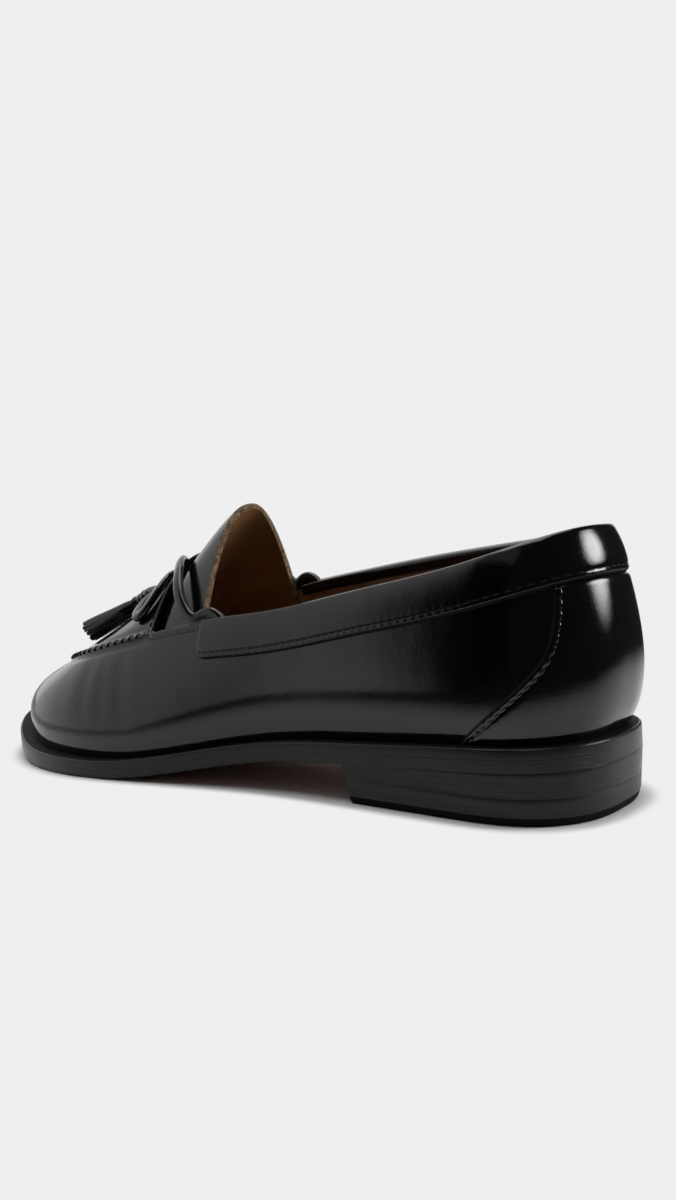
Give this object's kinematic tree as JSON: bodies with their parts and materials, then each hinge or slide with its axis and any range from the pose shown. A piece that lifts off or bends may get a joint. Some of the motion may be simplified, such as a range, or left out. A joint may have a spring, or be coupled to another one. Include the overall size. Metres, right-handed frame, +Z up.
{
  "type": "tassel loafer",
  "caption": "Left slip-on leather dress shoe with stacked heel, stitched collar band, outside counter, tongue and a tied bow with tassels on the vamp.",
  "frame": {"origin": "on the floor, under the middle of the shoe's box", "axes": "+Y from heel to toe, +X towards the medial side of the left foot, +Z up"},
  "size_m": [0.104, 0.2988, 0.1014],
  "materials": {
    "upper_leather": "polished black brush-off leather",
    "lining": "matt brown lining leather",
    "sole_leather": "reddish brown sole leather, black stained edge",
    "sole_edge": "black stained and waxed leather edge",
    "top_lift": "black rubber"
  },
  "bodies": {
    "root": {"outsole": "sole_leather", "midsole": "sole_edge", "heel_stack": "sole_edge", "heel_top_lift": "top_lift", "insole": "lining", "upper": "upper_leather", "tongue": "upper_leather", "collar_band": "upper_leather", "heel_counter": "upper_leather", "thong_lateral": "upper_leather", "thong_medial": "upper_leather", "bow_knot": "upper_leather", "bow_loop_lateral": "upper_leather", "bow_loop_medial": "upper_leather", "tassel_lateral": "upper_leather", "tassel_medial": "upper_leather"}
  },
  "joints": []
}
